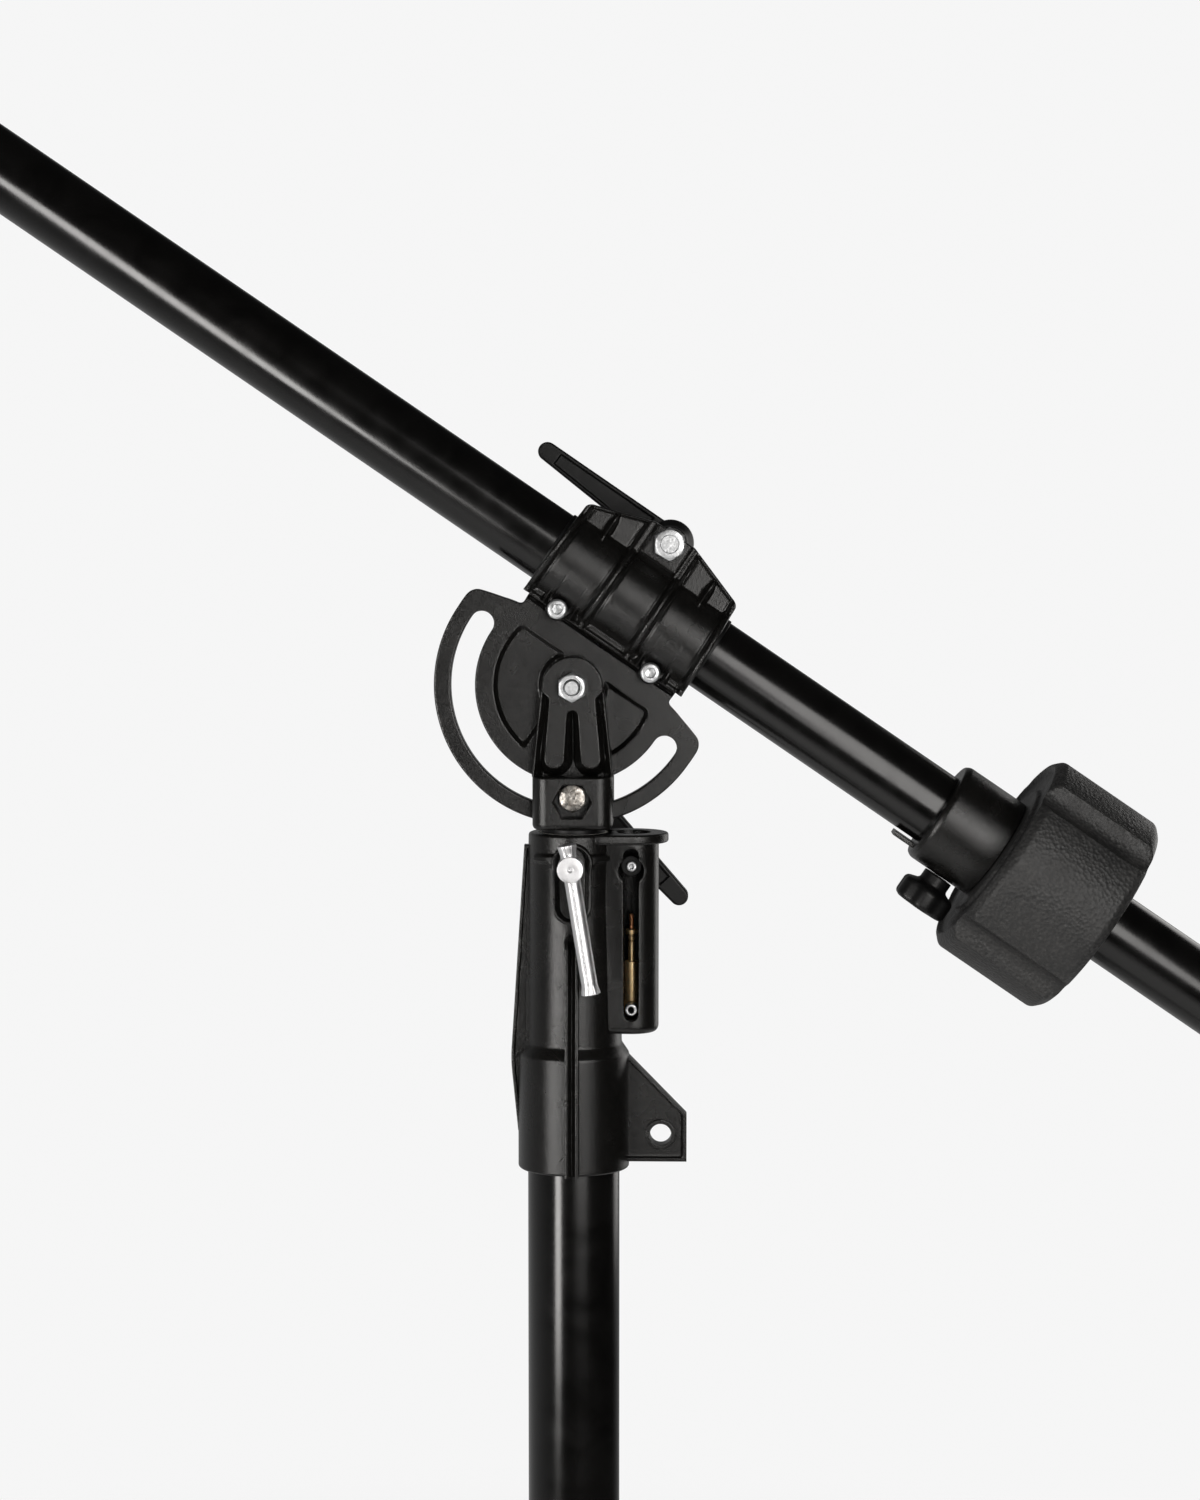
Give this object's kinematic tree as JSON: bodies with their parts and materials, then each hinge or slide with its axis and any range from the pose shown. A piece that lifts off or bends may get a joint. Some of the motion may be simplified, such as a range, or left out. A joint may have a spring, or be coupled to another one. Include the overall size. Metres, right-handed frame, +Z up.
{
  "type": "boom stand",
  "caption": "Wheeled tripod stand with a telescoping column, a slotted tilt plate in a fork, and a clamped, counterweighted telescoping boom.",
  "frame": {"origin": "middle of the stand's footprint box, on the floor, at the rest pose", "axes": "+Z up the column, +X towards the counterweight, +Y away from the viewer, along the tilt pivot"},
  "size_m": [1.4108, 0.9554, 1.8261],
  "materials": {
    "casting_black": "fine-textured black powder coat on die castings, a little lighter on the edges",
    "tube_black": "smooth satin black paint on steel tube",
    "plastic_black": "moulded black glass-filled nylon",
    "zinc_steel": "bright zinc plate",
    "aluminium": "machined, lightly brushed",
    "brass": "turned brass, a little aged",
    "wire_copper": "brown twisted wire",
    "cast_iron": "black painted cast iron",
    "rubber_grey": "grey non-marking rubber",
    "nylon": "natural nylon"
  },
  "bodies": {
    "base": {"base_hub": "casting_black", "leg_1": "tube_black", "leg_2": "tube_black", "leg_3": "tube_black", "column_tube": "tube_black", "column_head": "casting_black", "riser_bush": "nylon", "lock_pad": "brass", "anchor_pin": "zinc_steel", "rod_sleeve": "brass", "tension_rod": "brass", "tension_wire": "wire_copper", "guide_bolt": "zinc_steel"},
    "riser": {"riser_tube": "aluminium", "swivel_washer": "nylon"},
    "yoke": {"yoke": "casting_black", "pivot_bolt": "zinc_steel", "pivot_nut": "zinc_steel", "friction_disc_front": "nylon", "friction_disc_rear": "nylon", "slot_bush": "nylon", "tilt_lock_bolt": "zinc_steel", "tilt_lock_washer": "zinc_steel"},
    "tilt_lever": {"tilt_lock_lever": "plastic_black"},
    "clamp": {"tilt_plate": "casting_black", "clamp_front": "casting_black", "clamp_rear": "casting_black", "flange_screw_left": "zinc_steel", "flange_screw_right": "zinc_steel", "flange_nut_left": "zinc_steel", "flange_nut_right": "zinc_steel", "clamp_bolt": "zinc_steel"},
    "clamp_lever": {"clamp_lever": "plastic_black"},
    "liner": {"clamp_liner": "nylon"},
    "boom": {"boom_tube": "tube_black", "boom_collar": "casting_black", "boom_end_cap": "plastic_black"},
    "collar_knob": {"boom_collar_knob": "plastic_black"},
    "inner_boom": {"boom_inner_tube": "aluminium", "tip_fitting": "casting_black", "tip_spigot": "zinc_steel"},
    "tip_knob": {"tip_knob": "plastic_black"},
    "weight": {"weight_collar": "casting_black", "counterweight": "cast_iron"},
    "weight_knob": {"weight_knob": "plastic_black"},
    "riser_lock": {"lock_screw": "aluminium"},
    "lock_bar": {"lock_bar": "aluminium"},
    "caster_1": {"caster_fork_1": "zinc_steel", "caster_axle_1": "zinc_steel"},
    "wheel_1": {"caster_wheel_1": "rubber_grey"},
    "brake_1": {"caster_brake_1": "plastic_black"},
    "caster_2": {"caster_fork_2": "zinc_steel", "caster_axle_2": "zinc_steel"},
    "wheel_2": {"caster_wheel_2": "rubber_grey"},
    "brake_2": {"caster_brake_2": "plastic_black"},
    "caster_3": {"caster_fork_3": "zinc_steel", "caster_axle_3": "zinc_steel"},
    "wheel_3": {"caster_wheel_3": "rubber_grey"},
    "brake_3": {"caster_brake_3": "plastic_black"}
  },
  "joints": [
    {"name": "riser_slide", "type": "slide", "parent": "base", "child": "riser", "axis": [0, 0, 1], "range_m": [0, 0.6]},
    {"name": "head_swivel", "type": "hinge", "parent": "riser", "child": "yoke", "pos_m": [0.11856, -0.1523, 1.0877], "axis": [0, 0, 1], "continuous": true},
    {"name": "boom_tilt", "type": "hinge", "parent": "yoke", "child": "clamp", "pos_m": [0.11856, -0.1523, 1.18], "axis": [0, 1, 0], "range_deg": [-94.3, 35.7]},
    {"name": "tilt_lock_turn", "type": "hinge", "parent": "yoke", "child": "tilt_lever", "pos_m": [0.11856, -0.1523, 1.1083], "axis": [0, 1, 0], "range_deg": [-90, 90]},
    {"name": "clamp_lever_turn", "type": "hinge", "parent": "clamp", "child": "clamp_lever", "pos_m": [0.18106, -0.1523, 1.27161], "axis": [0, 1, 0], "range_deg": [-90, 90]},
    {"name": "boom_roll", "type": "hinge", "parent": "clamp", "child": "liner", "pos_m": [0.15604, -0.1523, 1.23494], "axis": [0.8261, 0, -0.5635], "continuous": true},
    {"name": "boom_slide", "type": "slide", "parent": "liner", "child": "boom", "axis": [0.8261, 0, -0.5635], "range_m": [-0.15, 0.5]},
    {"name": "extension_slide", "type": "slide", "parent": "boom", "child": "inner_boom", "axis": [-0.8261, 0, 0.5635], "range_m": [0, 0.5]},
    {"name": "collar_knob_turn", "type": "hinge", "parent": "boom", "child": "collar_knob", "pos_m": [-0.5858, -0.1523, 1.74098], "axis": [0.5635, 0, 0.8261], "range_deg": [0, 360]},
    {"name": "tip_knob_turn", "type": "hinge", "parent": "inner_boom", "child": "tip_knob", "pos_m": [-0.64966, -0.1523, 1.78454], "axis": [0.5635, 0, 0.8261], "range_deg": [0, 360]},
    {"name": "weight_slide", "type": "slide", "parent": "boom", "child": "weight", "axis": [0.8261, 0, -0.5635], "range_m": [0, 0.25]},
    {"name": "weight_knob_turn", "type": "hinge", "parent": "weight", "child": "weight_knob", "pos_m": [0.37578, -0.1523, 1.08504], "axis": [0.5635, 0, 0.8261], "range_deg": [0, 360]},
    {"name": "riser_lock_turn", "type": "hinge", "parent": "base", "child": "riser_lock", "pos_m": [0.11856, -0.1523, 1.0661], "axis": [0, 1, 0], "range_deg": [-90, 90]},
    {"name": "lock_bar_slide", "type": "slide", "parent": "riser_lock", "child": "lock_bar", "axis": [-0.1599, 0, 0.9871], "range_m": [0, 0.063]},
    {"name": "caster_swivel_1", "type": "hinge", "parent": "base", "child": "caster_1", "pos_m": [0.11856, 0.3927, 0.106], "axis": [0, 0, 1], "continuous": true},
    {"name": "wheel_spin_1", "type": "hinge", "parent": "caster_1", "child": "wheel_1", "pos_m": [0.11856, 0.4207, 0.0375], "axis": [-1, 0, 0], "continuous": true},
    {"name": "brake_press_1", "type": "hinge", "parent": "caster_1", "child": "brake_1", "pos_m": [0.11856, 0.4477, 0.0735], "axis": [-1, 0, 0], "range_deg": [0, 12]},
    {"name": "caster_swivel_2", "type": "hinge", "parent": "base", "child": "caster_2", "pos_m": [-0.35342, -0.4248, 0.106], "axis": [0, 0, 1], "continuous": true},
    {"name": "wheel_spin_2", "type": "hinge", "parent": "caster_2", "child": "wheel_2", "pos_m": [-0.37767, -0.4388, 0.0375], "axis": [0.5, -0.866, 0], "continuous": true},
    {"name": "brake_press_2", "type": "hinge", "parent": "caster_2", "child": "brake_2", "pos_m": [-0.40105, -0.4523, 0.0735], "axis": [0.5, -0.866, 0], "range_deg": [0, 12]},
    {"name": "caster_swivel_3", "type": "hinge", "parent": "base", "child": "caster_3", "pos_m": [0.59055, -0.4248, 0.106], "axis": [0, 0, 1], "continuous": true},
    {"name": "wheel_spin_3", "type": "hinge", "parent": "caster_3", "child": "wheel_3", "pos_m": [0.61479, -0.4388, 0.0375], "axis": [0.5, 0.866, 0], "continuous": true},
    {"name": "brake_press_3", "type": "hinge", "parent": "caster_3", "child": "brake_3", "pos_m": [0.63818, -0.4523, 0.0735], "axis": [0.5, 0.866, 0], "range_deg": [0, 12]}
  ]
}
